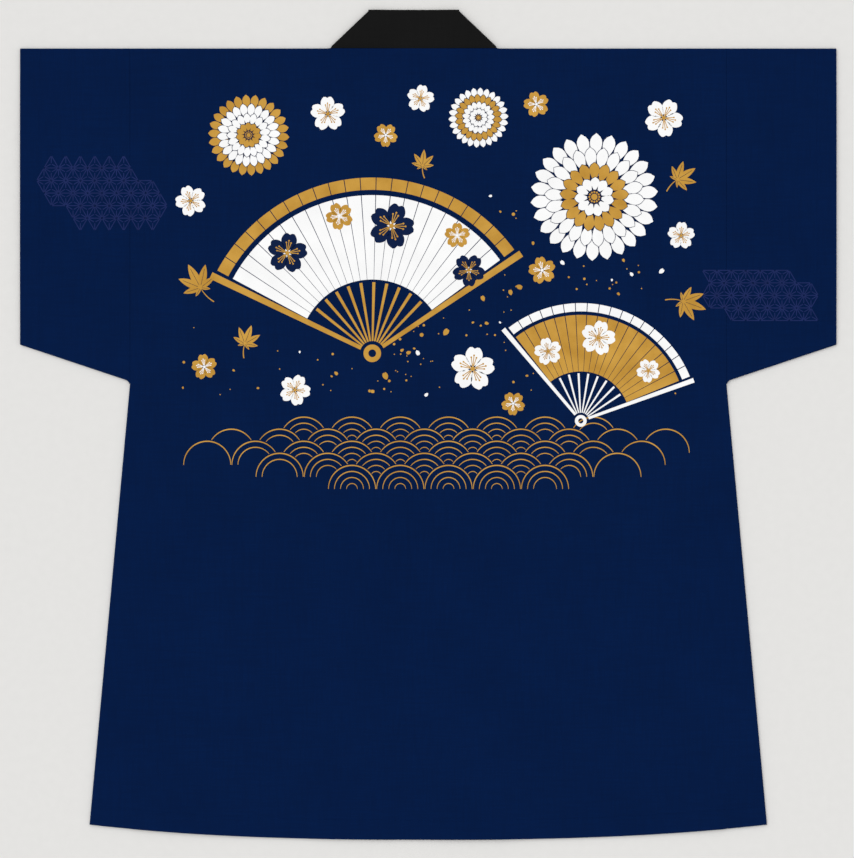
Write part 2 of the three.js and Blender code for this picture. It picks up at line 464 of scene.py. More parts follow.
def make_sleeve(name, side, cloth):
    """A flattened tube of cloth, open at the armhole and the cuff."""
    length = SPAN_HALF - CHEST_HALF
    cuff_line = length - HEM_ALLOWANCE
    outs = positions(CLOTH / 2, length - CLOTH / 2, lines=(cuff_line,))
    outs = np.unique(np.concatenate([outs, UNDERARM_RADIUS * np.array(UNDERARM_SHARES)]))[::side]
    outer, inner = [], []
    for out in outs:
        x, underside = side * (CHEST_HALF + out), sleeve_underside(out)
        widest = sleeve_loop(x, underside, 0.0)
        widest[:, 2] -= groove(out - cuff_line, depth=CUFF_DIP) * np.sign(widest[:, 2] - MEETING)
        outer.append(widest)
        inner.append(sleeve_loop(x, underside, CLOTH))
    outer, inner = np.array(outer), np.array(inner)
    high_end, low_end = sleeve_rim(outer[-1], inner[-1], 1.0), sleeve_rim(outer[0], inner[0], -1.0)
    points = np.concatenate([outer, high_end, inner[::-1], low_end[::-1]])
    return mesh_object(name, points.reshape(-1, 3), ring_faces(*points.shape[:2]), cloth)


# -------------------- collar


def band_edges(side):
    """X of a front band's free edge and of its sewn edge."""
    centre = NECK_X + side * (NECK_HALF - BAND_WIDTH / 2)
    return centre - side * BAND_WIDTH / 2, centre + side * BAND_WIDTH / 2


def make_front_band(name, side, cloth):
    """One front run of the collar band, from the hem to the slanting fold above the shoulder."""
    free, sewn = band_edges(side)
    low, high = min(free, sewn) + EDGE_ROUND, max(free, sewn) - EDGE_ROUND
    columns = positions(low, high, step=BAND_CELL, lines=(sewn - side * TOPSTITCH,))
    columns = columns[(columns >= low) & (columns <= high)]
    shares = positions(0.0, SHOULDER_Y - HEM_Y) / (SHOULDER_Y - HEM_Y)
    v, x = np.meshgrid(shares, columns, indexing="ij")
    fold_y = SHOULDER_Y + (COLLAR_TOP_Y - SHOULDER_Y) * np.abs(x - sewn) / BAND_WIDTH
    y = lerp(hem_level(x) + EDGE_ROUND, fold_y - EDGE_ROUND * SLANT_ALLOWANCE, v)
    below = groove(np.abs(x - sewn) - TOPSTITCH, depth=UNDER_DIP)
    above = np.full_like(x, BAND_FOLD - LAYER_CLEARANCE)
    rims = {
        "left": always(free_rim if side > 0 else butt_rim),
        "right": always(butt_rim if side > 0 else free_rim),
        "top": always(free_rim),
        "bottom": always(free_rim),
    }
    return panel(name, x, y, above, below, rims, cloth)


def neck_under(x):
    """The back-neck run lies over the slanting folds and sinks a little between them."""
    over_fold = smooth((np.abs(x - NECK_X) - SAG_HALF) / SAG_REACH)
    return lerp(NECK_SAG, BAND_FOLD, over_fold)


def make_neck_band(name, cloth):
    """The run of the collar band across the back neck, narrower at its top than at its seam."""
    low_y, high_y = SHOULDER_Y + SEAM_GAP / 2 + EDGE_ROUND, COLLAR_TOP_Y - EDGE_ROUND
    rise = positions(0.0, high_y - low_y, step=BAND_CELL, lines=(TOPSTITCH,))
    v, u = np.meshgrid(rise[rise >= 0.0], np.linspace(-1.0, 1.0, NECK_COLUMNS), indexing="ij")
    slant = BAND_WIDTH / (COLLAR_TOP_Y - SHOULDER_Y)
    half = NECK_HALF - slant * (v + low_y - SHOULDER_Y) - EDGE_ROUND * NECK_RIM_SHARE
    x = NECK_X + u * half
    y = low_y + v
    below = neck_under(x)
    above = below + BAND_FOLD - groove(v - TOPSTITCH + EDGE_ROUND)
    rims = {
        "left": always(free_rim),
        "right": always(free_rim),
        "top": always(free_rim),
        "bottom": always(butt_rim),
    }
    return panel(name, x, y, above, below, rims, cloth)


def joined(name, parts):
    """Makes several meshes one object."""
    with bpy.context.temp_override(
        active_object=parts[0], selected_objects=parts, selected_editable_objects=parts
    ):
        bpy.ops.object.join()
    parts[0].name = name
    parts[0].data.name = name
    return parts[0]


def make_collar(cloth):
    """The folded collar band: a run down each front and one across the back neck."""
    runs = [make_front_band(f"band_{side}", side, cloth) for side in (-1, 1)]
    runs.append(make_neck_band("band_neck", cloth))
    return joined("collar_cloth", runs)


# -------------------- print: films of ink

FILM = 0.06
INK_CLEARANCE = 0.03
STEP_UP = 0.01


class Ink:
    """Collects closed films of one ink colour, each laid over a plan grid."""

    def __init__(self):
        self.points = []
        self.faces = []
        self.count = 0

    def lay(self, plan, lift=0.0):
        """plan is a grid (rows, columns, xy); lift stacks a film on those under it."""
        one, other = plan[1:, 1:] - plan[:-1, :-1], plan[1:, :-1] - plan[:-1, 1:]
        turn = one[..., 0] * other[..., 1] - one[..., 1] * other[..., 0]
        if turn.sum() < 0:
            plan = plan[:, ::-1]
        x, y = plan[..., 0].ravel(), plan[..., 1].ravel()
        floor = upper_top(x, y) + INK_CLEARANCE + lift
        self.points += [np.column_stack([x, y, floor + FILM]), np.column_stack([x, y, floor])]
        rows, columns, _ = plan.shape
        size = rows * columns
        cells = np.arange(size).reshape(rows, columns)
        corners = (cells[:-1, :-1], cells[:-1, 1:], cells[1:, 1:], cells[1:, :-1])
        top = np.stack(corners, axis=-1).reshape(-1, 4)
        loop = np.concatenate([cells[0, :-1], cells[:-1, -1], cells[-1, :0:-1], cells[:0:-1, 0]])
        after = np.roll(loop, -1)
        sides = np.stack([after, loop, loop + size, after + size], axis=-1)
        faces = np.concatenate([top, top[:, ::-1] + size, sides])
        self.faces.append(faces + self.count)
        self.count += 2 * size

    def build(self, name, material):
        points = np.concatenate(self.points)
        faces = np.concatenate(self.faces)
        return mesh_object(name, points, faces.tolist(), material, smooth_shaded=False)


def turned(points, degrees):
    """Points turned about the origin."""
    turn = math.radians(degrees)
    x, y = points[..., 0], points[..., 1]
    across = x * math.cos(turn) - y * math.sin(turn)
    return np.stack([across, x * math.sin(turn) + y * math.cos(turn)], axis=-1)


def stroke(path, half_width):
    """A grid along a path, with a half width at each point of it."""
    path = np.asarray(path, dtype=float)
    half_width = np.broadcast_to(half_width, len(path))
    along = np.gradient(path, axis=0)
    along /= np.linalg.norm(along, axis=1, keepdims=True)
    across = np.column_stack([-along[:, 1], along[:, 0]])
    widest = half_width.max()
    shares = np.linspace(-1.0, 1.0, 5 if widest > 3.0 else 3 if widest > 1.0 else 2)
    return path[:, None] + across[:, None] * (half_width[:, None] * shares)[..., None]


def line(start, end, half_width, step=3.0):
    start, end = np.array(start, dtype=float), np.array(end, dtype=float)
    count = max(2, int(np.linalg.norm(end - start) / step) + 1)
    return stroke(lerp(start, end, np.linspace(0.0, 1.0, count)[:, None]), half_width)


def polar(centre, radius, degrees):
    turn = np.radians(degrees)
    return np.array(centre) + np.stack([radius * np.cos(turn), radius * np.sin(turn)], axis=-1)


def sector(centre, inner, outer, start, end, step=3.0):
    """Part of a ring, as a grid of rings and spokes."""
    rings = max(2, int((outer - inner) / (2 * step)) + 2)
    spokes = max(2, int(math.radians(abs(end - start)) * outer / step) + 2)
    radius, degrees = np.meshgrid(
        np.linspace(inner, outer, rings), np.linspace(start, end, spokes), indexing="ij"
    )
    return polar(centre, radius, degrees)


def dot(centre, radius):
    return sector(centre, radius * 0.02, radius, 0.0, 360.0, step=max(0.5, radius / 4))


def petal(centre, turn, inner, outer, half_width, late=1.0, notch=0.0, close=1.0):
    """A petal on a spoke: late moves its widest place out, notch cuts its tip, and close below 1
    leaves the tip open instead of pointed."""
    along, side = np.meshgrid(np.linspace(0.0, 1.0, 11), np.linspace(-1.0, 1.0, 5), indexing="ij")
    width = half_width * np.sin(math.pi * np.clip(along**late * close, 0.004, 0.996)) ** 0.75
    tip = 1.0 - notch * (1.0 - np.abs(side)) - 0.6 * notch * side**4
    reach = inner + (outer - inner) * along * lerp(1.0, tip, along)
    return np.array(centre) + turned(np.stack([reach, side * width], axis=-1), turn)


# -------------------- print: motifs


# Degrees from the middle of the petal, and share of the radius that the stamen reaches to.
STAMENS = table(
    "off reach",
    (-13.0, 0.5),
    (0.0, 0.58),
    (13.0, 0.5),
)


def blossom(inks, row, lift=0.0):
    """A five-petalled cherry blossom with a notch in each petal and fine stamens."""
    petals, hearts = inks[row["petals"]], inks["white" if row["petals"] == "gold" else "gold"]
    centre, radius = row["at"], row["radius"]
    for i in range(5):
        spoke = row["turn"] + 72.0 * i
        wide = radius * 0.37
        shape = petal(centre, spoke, radius * 0.1, radius, wide, late=0.95, notch=0.15, close=0.84)
        petals.lay(shape, lift)
        for stamen in STAMENS:
            start = polar(centre, radius * 0.12, spoke + stamen["off"])
            end = polar(centre, radius * stamen["reach"], spoke + stamen["off"])
            hearts.lay(line(start, end, radius * 0.012 + 0.12, 4.0), lift + FILM)
            hearts.lay(dot(end, radius * 0.035 + 0.1), lift + FILM + STEP_UP)
    hearts.lay(dot(centre, radius * 0.1), lift + FILM + STEP_UP)


# Share of the radius where each ring of petals starts and ends, and its number of petals.
CHRYSANTHEMUM_RINGS = table(
    "inner outer petals",
    (0.52, 1.0, 26),
    (0.34, 0.78, 22),
    (0.18, 0.54, 17),
    (0.06, 0.31, 11),
)


PETAL_OUTLINE = 0.55


def chrysanthemum(inks, row):
    """Rings of narrow petals, each outlined in the cloth's own colour over the ring before it."""
    centre, radius = row["at"], row["radius"]
    for level, (ring, colour) in enumerate(zip(CHRYSANTHEMUM_RINGS, row["colours"])):
        lift = level * (2 * FILM + 2 * STEP_UP)
        inner, outer = ring["inner"] * radius, ring["outer"] * radius
        half_width = math.pi * outer * 0.80 / ring["petals"]
        for i in range(ring["petals"]):
            spoke = row["turn"] + 360.0 * (i + 0.5 * (level % 2)) / ring["petals"]
            step = STEP_UP * (i % 2)
            if level:
                wide = half_width + PETAL_OUTLINE
                grown = petal(centre, spoke, inner, outer + PETAL_OUTLINE, wide, late=1.9)
                inks["navy"].lay(grown, lift - FILM + step)
            inks[colour].lay(petal(centre, spoke, inner, outer, half_width, late=1.9), lift + step)
    top = len(CHRYSANTHEMUM_RINGS) * (2 * FILM + 2 * STEP_UP)
    inks["navy"].lay(dot(centre, radius * 0.115), top)
    for i in range(12):
        inks["gold"].lay(dot(polar(centre, radius * 0.078, 30.0 * i), radius * 0.016), top + FILM)
    inks["gold"].lay(dot(centre, radius * 0.05), top + FILM)


MAPLE_LOBES = table(
    "turn length",
    (0.0, 1.0),
    (40.0, 0.9),
    (-40.0, 0.9),
    (80.0, 0.68),
    (-80.0, 0.68),
    (124.0, 0.38),
    (-124.0, 0.38),
)


def maple_leaf(inks, row):
    """Seven pointed lobes with a vein in each, and a bent stalk."""
    centre, radius, turn = row["at"], row["radius"], row["turn"]
    top = STEP_UP * len(MAPLE_LOBES)
    for i, lobe in enumerate(MAPLE_LOBES):
        spoke, reach = turn + lobe["turn"], lobe["length"] * radius
        inks["gold"].lay(petal(centre, spoke, 0.0, reach, reach * 0.17, late=0.8), STEP_UP * i)
        vein = line(polar(centre, reach * 0.12, spoke), polar(centre, reach * 0.82, spoke), 0.16)
        inks["navy"].lay(vein, FILM + top)
    t = np.linspace(0.0, 1.0, 9)
    stalk = polar(centre, radius * 0.75 * t, turn + 180.0 + 16.0 * t)
    inks["gold"].lay(stroke(stalk, 0.35 + 0.25 * t), top)


FAN_SLIT = 0.45
FAN_SHARES = {
    # of the fan's radius: the leaf, the band on its edge, its ribs and guards, and its rivet
    "leaf": (0.42, 0.9),
    "band": (0.93, 1.0),
    "rib": (0.07, 0.405),
    "guard": (0.07, 1.02),
    "rivet": (0.022, 0.05),
}


def fan(inks, row):
    """An open folding fan: pleats with a slit of bare cloth between them, a band along the edge,
    ribs, two guards and a rivet."""
    pivot, radius, folds, band = row["pivot"], row["radius"], row["folds"], inks[row["band"]]
    shares = {name: (radius * low, radius * high) for name, (low, high) in FAN_SHARES.items()}
    slit = math.degrees(FAN_SLIT / radius)
    for i in range(folds):
        a, b = (lerp(row["start"], row["end"], (i + side) / folds) for side in (0.0, 1.0))
        inks[row["leaf"]].lay(sector(pivot, *shares["leaf"], a + slit, b - slit, 4.0))
        band.lay(sector(pivot, *shares["band"], a + slit, b - slit, 4.0))
    last = folds // 2
    t = np.linspace(0.0, 1.0, 12)
    for i in range(last + 1):
        guard = i in (0, last)
        spoke = lerp(row["start"], row["end"], i / last) + (2.2 if i else -2.2) * guard
        reach = lerp(*shares["guard" if guard else "rib"], t)
        width = radius * (0.016 if guard else 0.007) * lerp(0.7, 1.25, t)
        band.lay(stroke(polar(pivot, reach, spoke), width), STEP_UP * guard)
    band.lay(sector(pivot, *shares["rivet"], 0.0, 360.0, 1.5), 2 * STEP_UP)


def waves(ink, scales, radius, rings):
    """Rows of overlapping wave scales: each keeps the part that no scale in front of it hides."""
    for (x, y), shown in scales.items():
        hiding = [(x - radius, y - radius / 2), (x + radius, y - radius / 2), (x, y - radius)]
        hiding = [centre for centre in hiding if centre in scales]
        for ring in range(shown):
            arc = radius * (1.0 - ring / rings) - 0.6
            degrees = np.linspace(0.0, 180.0, 61)
            points = polar((x, y), arc, degrees)
            clear = np.ones(len(points), dtype=bool)
            for centre in hiding:
                clear &= np.linalg.norm(points - np.array(centre), axis=1) > radius + 0.5
            edges = np.flatnonzero(np.diff(np.concatenate([[0], clear.astype(int), [0]])))
            for first, last in zip(edges[::2], edges[1::2]):
                if last - first > 2:
                    run = points[first:last]
                    taper = np.sin(math.pi * np.linspace(0.08, 0.92, len(run))) ** 0.5
                    ink.lay(stroke(run, 0.62 * taper * (1.0 - 0.12 * ring)))


def hemp_leaves(ink, centre, region, side):
    """The hemp-leaf lattice: triangles with lines from their middles to their corners."""
    height = side * math.sqrt(3) / 2
    drawn = set()

    def draw(start, end):
        key = tuple(sorted([tuple(np.round(start, 2)), tuple(np.round(end, 2))]))
        if key not in drawn:
            drawn.add(key)
            trim = (end - start) * 0.8 / np.linalg.norm(end - start)
            ink.lay(line(start + trim, end - trim, 0.5, 4.0))

    for row in range(-12, 13):
        for column in range(-16, 17):
            x, y = centre[0] + (column + row / 2) * side, centre[1] + row * height
            for rise in (height, -height):
                corners = np.array([(x, y), (x + side, y), (x + side / 2, y + rise)])
                middle = sum(corners) / 3
                if region(middle):
                    for i in range(3):
                        draw(corners[i], corners[(i + 1) % 3])
                        draw(middle, corners[i])


# -------------------- print: layout

PRINT_MIDDLE = 6.0
PRINT_HALF = 262.0
FANS = table(
    "pivot radius start end folds leaf band",
    ((-58.0, 74.0), 182.0, 36.0, 152.0, 22, "white", "gold"),
    ((158.0, 4.0), 122.0, 22.0, 128.0, 18, "gold", "white"),
)
CHRYSANTHEMUMS = table(
    "at radius turn colours",
    ((172.0, 236.0), 66.0, 5.0, ("white", "white", "gold", "white")),
    ((-186.0, 300.0), 42.0, 11.0, ("gold", "white", "white", "gold")),
    ((52.0, 318.0), 31.0, 3.0, ("white", "gold", "white", "white")),
)
BLOSSOMS = table(
    "at radius turn petals",
    ((-104.0, 322.0), 19.0, 20.0, "white"),
    ((-44.0, 300.0), 13.0, 52.0, "gold"),
    ((-8.0, 338.0), 15.0, 8.0, "white"),
    ((112.0, 332.0), 14.0, 33.0, "gold"),
    ((244.0, 318.0), 21.0, 61.0, "white"),
    ((262.0, 196.0), 15.0, 15.0, "white"),
    ((-246.0, 232.0), 17.0, 40.0, "white"),
    ((-232.0, 60.0), 14.0, 27.0, "gold"),
    ((46.0, 58.0), 24.0, 12.0, "white"),
    ((88.0, 22.0), 13.0, 50.0, "gold"),
    ((-138.0, 36.0), 17.0, 66.0, "white"),
    ((118.0, 160.0), 15.0, 30.0, "gold"),
)
FAN_BLOSSOMS = table(
    "at radius turn petals",
    ((-146.0, 178.0), 22.0, 10.0, "navy"),
    ((-92.0, 216.0), 15.0, 44.0, "gold"),
    ((-38.0, 206.0), 25.0, 70.0, "navy"),
    ((30.0, 196.0), 14.0, 18.0, "gold"),
    ((42.0, 160.0), 18.0, 55.0, "navy"),
    ((124.0, 76.0), 15.0, 31.0, "white"),
    ((176.0, 90.0), 19.0, 3.0, "white"),
    ((228.0, 56.0), 13.0, 47.0, "white"),
)
MAPLES = table(
    "at radius turn",
    ((-236.0, 142.0), 27.0, 118.0),
    ((-190.0, 84.0), 20.0, 70.0),
    ((258.0, 254.0), 22.0, 32.0),
    ((264.0, 128.0), 25.0, -20.0),
    ((-6.0, 268.0), 17.0, 84.0),
)
HEMP_PATCHES = table(
    "at half",
    ((-338.0, 240.0), (64.0, 34.0)),
    ((344.0, 134.0), (60.0, 30.0)),
)
HEMP_SIDE = 15.0
WAVE_RADIUS = 25.0
WAVE_RINGS = 4
CONFETTI = 420
# Where the specks drift: height, swing and spread of their band, and how it bends.
DRIFT = {"y": 60.0, "swing": 95.0, "bend": 2.6, "phase": 0.4, "spread": 62.0, "top": 350.0}


def wave_scales():
    """Wave scales that fill a long crescent, with fewer rings towards its ends."""
    scales = {}
    for row in range(9):
        y = -4.0 - row * WAVE_RADIUS / 2
        for column in range(-12, 13):
            x = (2 * column + row % 2) * WAVE_RADIUS - 4.0
            across = (x - PRINT_MIDDLE) / PRINT_HALF
            above, below = -6.0 - 26.0 * across**2, -74.0 + 34.0 * across**2
            if abs(across) < 1.0 and below < y < above:
                scales[(x, y)] = max(1, min(WAVE_RINGS, round(5.4 * (1.0 - abs(across)))))
    return scales


def in_patch(patch):
    """A patch of hemp leaves has slanting ends and stepped long sides."""
    (x, y), (half_x, half_y) = patch["at"], patch["half"]

    def inside(point):
        across, up = (point[0] - x) / half_x, (point[1] - y) / half_y
        return abs(across + 0.35 * up) + 0.35 * abs(up) < 1.0 and abs(up) < 1.0

    return inside


def clear_of_motifs(x, y, reach):
    """Whether a speck of that reach misses every fan, flower, leaf and wave."""
    for row in CHRYSANTHEMUMS + BLOSSOMS + MAPLES:
        if math.dist((x, y), row["at"]) < row["radius"] + reach:
            return False
    for row in FANS:
        across, up = x - row["pivot"][0], y - row["pivot"][1]
        distance, bearing = math.hypot(across, up), math.degrees(math.atan2(up, across))
        over_leaf = row["start"] - 5.0 < bearing < row["end"] + 5.0
        if distance < (1.06 if over_leaf else 0.1) * row["radius"] + reach:
            return False
    return y - reach > WAVE_RADIUS


def scatter(inks):
    """Loose petals and specks of gold that drift across the print."""
    chance = np.random.default_rng(7)
    for _ in range(CONFETTI):
        along = chance.uniform(-1.0, 1.0)
        x = PRINT_MIDDLE + PRINT_HALF * along
        y = DRIFT["y"] + DRIFT["swing"] * math.sin(DRIFT["bend"] * along + DRIFT["phase"])
        y += chance.normal(0.0, DRIFT["spread"])
        radius = 0.6 + 1.5 * chance.random() ** 3
        turn, kind, colour = chance.uniform(0.0, 360.0), chance.random(), chance.random()
        if y > DRIFT["top"] or not clear_of_motifs(x, y, 5.0 * radius):
            continue
        if kind < 0.72:
            inks["gold"].lay(dot((x, y), radius))
        else:
            ink = inks["gold" if colour < 0.6 else "white"]
            loose = petal((x, y), turn, 0.0, 5.0 * radius, 1.6 * radius, late=0.9, notch=0.2, close=0.86)
            ink.lay(loose)


def make_print(materials):
    """Lays every motif, and makes one object of each ink."""
    inks = {name: Ink() for name in materials}
    for patch in HEMP_PATCHES:
        hemp_leaves(inks["indigo"], patch["at"], in_patch(patch), HEMP_SIDE)
    for row in FANS:
        fan(inks, row)
    for row in CHRYSANTHEMUMS:
        chrysanthemum(inks, row)
    for row in BLOSSOMS:
        blossom(inks, row)
    for row in FAN_BLOSSOMS:
        blossom(inks, row, lift=FILM + STEP_UP)
    for row in MAPLES:
        maple_leaf(inks, row)
    waves(inks["gold"], wave_scales(), WAVE_RADIUS, WAVE_RINGS)
    scatter(inks)
    return {name: ink.build(f"print_{name}", materials[name]) for name, ink in inks.items()}


# -------------------- materials


def srgb(red, green, blue):
    """Linear colour of an 8-bit one."""
    return tuple(
        (c / 255 / 12.92) if c <= 10.3 else ((c / 255 + 0.055) / 1.055) ** 2.4
        for c in (red, green, blue)
    )


NAVY = srgb(5.2, 27, 67)
BLACK = srgb(23.5, 23.5, 23.5)
WHITE = srgb(252, 252, 252)
GOLD = srgb(206, 158, 70)
DEEP_GOLD = srgb(186, 138, 54)
INDIGO = srgb(28, 42, 94)
GROUND = srgb(227, 226, 224)


def node(tree, kind, inputs=None, **settings):
    """Adds a shader node; an input is a value or the output socket that feeds it."""
    made = tree.nodes.new(kind)
    for key, value in settings.items():
        setattr(made, key, value)
    for key, value in (inputs or {}).items():
        if isinstance(value, bpy.types.NodeSocket):
            tree.links.new(value, made.inputs[key])
        else:
            made.inputs[key].default_value = value
    return made


def place_in_mm(tree, stretch=(1.0, 1.0, 1.0)):
    """The point being shaded, in millimetres, stretched along the axes."""
    place = node(tree, "ShaderNodeTexCoord").outputs["Object"]
    scale = tuple(part / MM for part in stretch)
    return node(tree, "ShaderNodeMapping", {"Vector": place, "Scale": scale}).outputs["Vector"]


def noise(tree, length, stretch=(1.0, 1.0, 1.0), detail=3.0):
    """Soft noise whose features are about a length long, in millimetres."""
    inputs = {"Vector": place_in_mm(tree, stretch), "Scale": 1.0 / length, "Detail": detail}
    return node(tree, "ShaderNodeTexNoise", inputs).outputs["Fac"]


def plain_weave(tree, thread):
    """Over and under of a plain weave, from -1 to 1, with threads of the given pitch."""
    parts = node(tree, "ShaderNodeSeparateXYZ", {"Vector": place_in_mm(tree)})
    crests = []
    for axis in ("X", "Y"):
        inputs = {0: parts.outputs[axis], 1: math.pi / thread}
        turns = node(tree, "ShaderNodeMath", inputs, operation="MULTIPLY").outputs[0]
        crests.append(node(tree, "ShaderNodeMath", {0: turns}, operation="SINE").outputs[0])
    return node(tree, "ShaderNodeMath", {0: crests[0], 1: crests[1]}, operation="MULTIPLY").outputs[0]


def ranged(tree, value, low, high, source=(0.0, 1.0)):
    """A value that runs from low to high while another runs over the source range."""
    inputs = {"Value": value, 1: source[0], 2: source[1], 3: low, 4: high}
    return node(tree, "ShaderNodeMapRange", inputs).outputs["Result"]


def mixed(tree, factor, first, second):
    """A colour between two, by a factor."""
    mix = node(tree, "ShaderNodeMix", data_type="RGBA")
    tree.links.new(factor, mix.inputs[0])
    mix.inputs[6].default_value = (*first, 1.0)
    mix.inputs[7].default_value = (*second, 1.0)
    return mix.outputs[2]


def drifting(tree, value, source, first, second):
    """A colour that runs from first to second while a value runs over the source range."""
    return mixed(tree, ranged(tree, value, 0.0, 1.0, source), first, second)


def shaded(colour, share):
    """The same colour, darker or lighter."""
    return tuple(channel * share for channel in colour)


def roughen(tree, shader, grain, share, thread, strength, distance):
    """Bumps: the weave, and a share of a grain on top of it."""
    inputs = {0: grain, 1: share, 2: plain_weave(tree, thread)}
    relief = node(tree, "ShaderNodeMath", inputs, operation="MULTIPLY_ADD").outputs[0]
    bump = node(tree, "ShaderNodeBump", {"Height": relief, "Strength": strength, "Distance": distance})
    tree.links.new(bump.outputs["Normal"], shader.inputs["Normal"])


def new_material(name, colour):
    material = bpy.data.materials.new(name)
    material.use_nodes = True
    material.diffuse_color = (*colour, 1.0)
    tree = material.node_tree
    return material, tree, tree.nodes["Principled BSDF"]


def woven(name, colour, thread, sheen):
    """Plain-woven cotton: its weave, slubs along both threads, and faint clouds of dye."""
    material, tree, shader = new_material(name, colour)
    clouds = noise(tree, 85.0)
    slub_x = noise(tree, 1.6, stretch=(0.06, 1.0, 1.0), detail=2.0)
    slub_y = noise(tree, 1.6, stretch=(1.0, 0.06, 1.0), detail=2.0)
    slubs = node(tree, "ShaderNodeMath", {0: slub_x, 1: slub_y}, operation="MULTIPLY").outputs[0]
    dye = drifting(tree, clouds, (0.3, 0.7), shaded(colour, 0.95), shaded(colour, 1.05))
    threads = node(tree, "ShaderNodeMix", data_type="RGBA", blend_type="MULTIPLY")
    threads.inputs[0].default_value = 1.0
    tree.links.new(dye, threads.inputs[6])
    lit = drifting(tree, slubs, (0.15, 0.38), (0.93,) * 3, (1.07,) * 3)
    tree.links.new(lit, threads.inputs[7])
    tree.links.new(threads.outputs[2], shader.inputs["Base Color"])
    tree.links.new(ranged(tree, slubs, 0.86, 0.97, (0.15, 0.38)), shader.inputs["Roughness"])
    roughen(tree, shader, slubs, 2.0, thread, 0.35, 0.00012)
    shader.inputs["Specular IOR Level"].default_value = 0.025
    shader.inputs["Sheen Weight"].default_value = sheen
    shader.inputs["Sheen Roughness"].default_value = 0.45
    shader.inputs["Sheen Tint"].default_value = (*shaded(colour, 4.0), 1.0)
    return material


def printed(name, colour, deep, patch):
    """Matt textile ink: the weave shows through, and its colour drifts between two tones."""
    material, tree, shader = new_material(name, colour)
    tone = drifting(tree, noise(tree, patch, detail=5.0), (0.32, 0.68), deep, colour)
    tree.links.new(tone, shader.inputs["Base Color"])
    grain = noise(tree, 0.5)
    tree.links.new(ranged(tree, grain, 0.7, 0.9), shader.inputs["Roughness"])
    roughen(tree, shader, grain, 1.5, CLOTH_THREAD, 0.25, 0.0001)
    shader.inputs["Specular IOR Level"].default_value = 0.1
    return material


def ground_material():
    """Pale matt paper with a faint grain."""
    material, tree, shader = new_material("ground", GROUND)
    grain = noise(tree, 9.0, detail=6.0)
    paper = drifting(tree, grain, (0.3, 0.7), shaded(GROUND, 0.99), shaded(GROUND, 1.01))
    tree.links.new(paper, shader.inputs["Base Color"])
    shader.inputs["Roughness"].default_value = 1.0
    shader.inputs["Specular IOR Level"].default_value = 0.0
    return material


# -------------------- stitches

STITCH_LENGTH = 2.3
STITCH_PITCH = 3.1
STITCH_WIDTH = 0.5
STITCH_SIDES = 6
STITCH_HEIGHT = 0.6
# Place along the stitch, and share of its girth.
STITCH_RINGS = table(
    "along girth",
    (-0.5, 0.15),
    (-0.3, 1.0),
    (0.3, 1.0),
    (0.5, 0.15),
)
HIGH_STITCH = 0.06
CUFF_STITCH = 0.04
UNDER_STITCH = 0.16


def point_along(path, reach, distance):
    """The point of a path at a distance along it."""
    return np.array([np.interp(distance, reach, path[:, axis]) for axis in range(3)])


def stitch_points(centre, along):
    """Rings of points round one stitch."""
    across = np.array([-along[1], along[0], 0.0])
    points = []
    for ring in STITCH_RINGS:
        spread = STITCH_WIDTH / 2 * ring["girth"]
        for turn in np.linspace(0.0, 2 * math.pi, STITCH_SIDES, endpoint=False):
            up = np.array([0.0, 0.0, STITCH_HEIGHT * spread * math.sin(turn)])
            out = across * spread * math.cos(turn)
            points.append(centre + along * STITCH_LENGTH * ring["along"] + out + up)
    return points


def stitches(runs, name, material):
    """Rows of stitches along paths (x, y, height), each a small tapered bead of thread."""
    points, faces = [], []
    last = STITCH_SIDES * (len(STITCH_RINGS) - 1)
    for path in runs:
        reach = np.concatenate([[0.0], np.cumsum(np.linalg.norm(np.diff(path, axis=0), axis=1))])
        for middle in np.arange(STITCH_PITCH, reach[-1] - STITCH_PITCH / 2, STITCH_PITCH):
            start, end = (point_along(path, reach, middle + off) for off in (-1.0, 1.0))
            base = len(points)
            points += stitch_points((start + end) / 2, (end - start) / 2)
            for ring in range(0, last, STITCH_SIDES):
                for i in range(STITCH_SIDES):
                    a, b = base + ring + i, base + ring + (i + 1) % STITCH_SIDES
                    faces.append((a, b, b + STITCH_SIDES, a + STITCH_SIDES))
            faces.append(tuple(base + i for i in reversed(range(STITCH_SIDES))))
            faces.append(tuple(base + last + i for i in range(STITCH_SIDES)))
    return mesh_object(name, points, faces, material)


def raised(x, y, height):
    """A path over plan points, at one height or at a height for each."""
    return np.column_stack(np.broadcast_arrays(x, y, height))


def navy_stitch_runs():
    """Hem and cuff stitches, on the back's upper face and on the faces that rest on the ground."""
    hem_half = HEM_HALF - HEM_ALLOWANCE * SIDE_SLANT - 1.0
    x = np.linspace(-hem_half, hem_half, 300)
    y = hem_level(x) + HEM_ALLOWANCE
    runs = [raised(x, y, upper_top(x, y) - HIGH_STITCH)]
    for side in (-1, 1):
        x = np.linspace(NECK_X + side * (NECK_HALF + 2.0), side * hem_half, 120)
        runs.append(raised(x, hem_level(x) + HEM_ALLOWANCE, UNDER_STITCH))
        foot = sleeve_underside(SPAN_HALF - CHEST_HALF - HEM_ALLOWANCE) + 2.0
        y = np.linspace(foot, SHOULDER_Y - 2.0, 150)
        x = np.full_like(y, side * (SPAN_HALF - HEM_ALLOWANCE))
        runs += [raised(x, y, upper_top(x, y) - CUFF_STITCH), raised(x, y, UNDER_STITCH)]
    return runs


